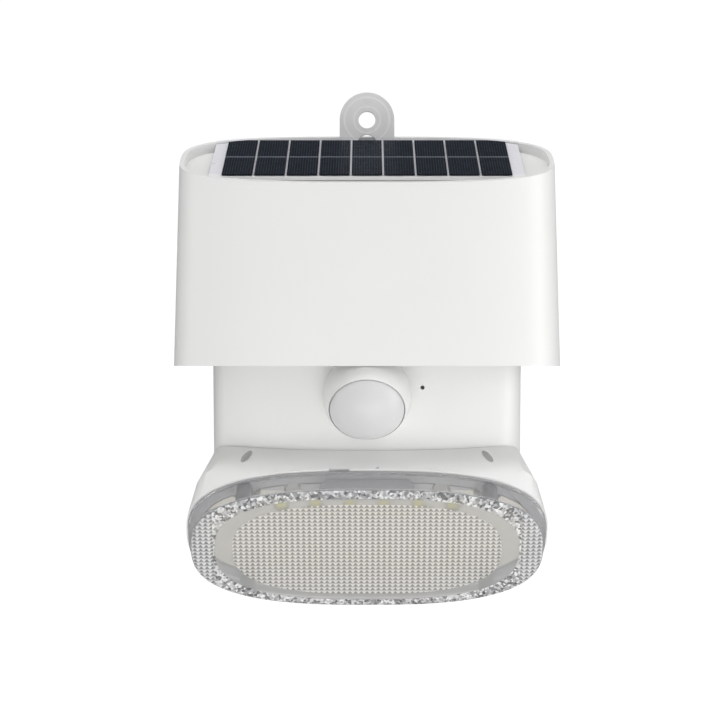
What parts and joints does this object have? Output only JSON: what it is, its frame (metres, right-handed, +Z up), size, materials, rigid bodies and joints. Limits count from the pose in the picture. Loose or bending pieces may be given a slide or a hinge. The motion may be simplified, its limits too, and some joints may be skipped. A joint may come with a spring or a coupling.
{
  "type": "solar-powered motion-sensor security light",
  "caption": "White wall-hung security light: hood with sloping solar panel, domed motion sensor, tilting prismatic lamp head.",
  "frame": {"origin": "on the flat back of the hood where it rests on the wall, midway across, 20 mm above the hood's lower edge", "axes": "+X to the right seen from the front, +Y into the wall (the lamp faces -Y), +Z up"},
  "size_m": [0.121, 0.0543, 0.1631],
  "materials": {
    "white_plastic": "fine satin moulded ABS",
    "tab_plastic": "slightly translucent moulded PC",
    "clear_plastic": "clear polycarbonate",
    "solar_cell": "dark monocrystalline silicon",
    "backsheet": "white laminate",
    "foam": "foam tape",
    "sensor_lens": "translucent milky polyethylene",
    "circuit_board": "solder-masked glass fibre",
    "led_board": "white solder mask",
    "led": "phosphor",
    "reflector": "ivory moulded plastic",
    "silicone": "grey silicone",
    "rubber": "moulded rubber",
    "steel": "nickel-plated steel",
    "battery_sleeve": "shrink sleeve",
    "black_plastic": "moulded plastic"
  },
  "bodies": {
    "hood_and_body": {"back_cover": "white_plastic", "back_screw_1": "steel", "back_screw_2": "steel", "battery_cell": "battery_sleeve", "battery_holder": "black_plastic", "body_housing": "white_plastic", "hanging_tab": "tab_plastic", "hinge_pin": "steel", "hinge_washer_1": "rubber", "hinge_washer_2": "rubber", "hood_screw_1": "steel", "hood_screw_2": "steel", "hood_screw_3": "steel", "hood_screw_4": "steel", "hood_shell": "white_plastic", "indicator_pipe": "clear_plastic", "main_board": "circuit_board", "motion_sensor": "steel", "panel_adhesive_pad": "foam", "sensor_board": "circuit_board", "sensor_dome": "sensor_lens", "solar_backsheet": "backsheet", "solar_cell_1": "solar_cell", "solar_cell_2": "solar_cell", "solar_cell_3": "solar_cell", "solar_cell_4": "solar_cell", "solar_cell_5": "solar_cell", "solar_cell_6": "solar_cell", "solar_cell_7": "solar_cell", "solar_cell_8": "solar_cell", "solar_cell_9": "solar_cell", "solar_cover": "clear_plastic", "switch_board": "circuit_board", "tact_switch": "black_plastic", "wall_pad_1": "rubber", "wall_pad_2": "rubber"},
    "lamp_head": {"board_screw_1": "steel", "board_screw_2": "steel", "head_housing": "white_plastic", "head_lens": "clear_plastic", "led_1": "led", "led_10": "led", "led_11": "led", "led_12": "led", "led_2": "led", "led_3": "led", "led_4": "led", "led_5": "led", "led_6": "led", "led_7": "led", "led_8": "led", "led_9": "led", "led_board": "led_board", "lens_gasket": "silicone", "lens_screw_1": "steel", "lens_screw_2": "steel", "lens_screw_3": "steel", "lens_screw_4": "steel", "reflector": "reflector"},
    "mode_button": {"mode_button": "rubber"}
  },
  "joints": [
    {"name": "head_tilt", "type": "hinge", "parent": "hood_and_body", "child": "lamp_head", "pos_m": [0, -0.0115, -0.059], "axis": [1, 0, 0], "range_deg": [0, 30]},
    {"name": "mode_button_press", "type": "slide", "parent": "hood_and_body", "child": "mode_button", "axis": [0, -1, 0], "range_m": [0, 0.0008], "stiffness_N_per_m": 900}
  ]
}
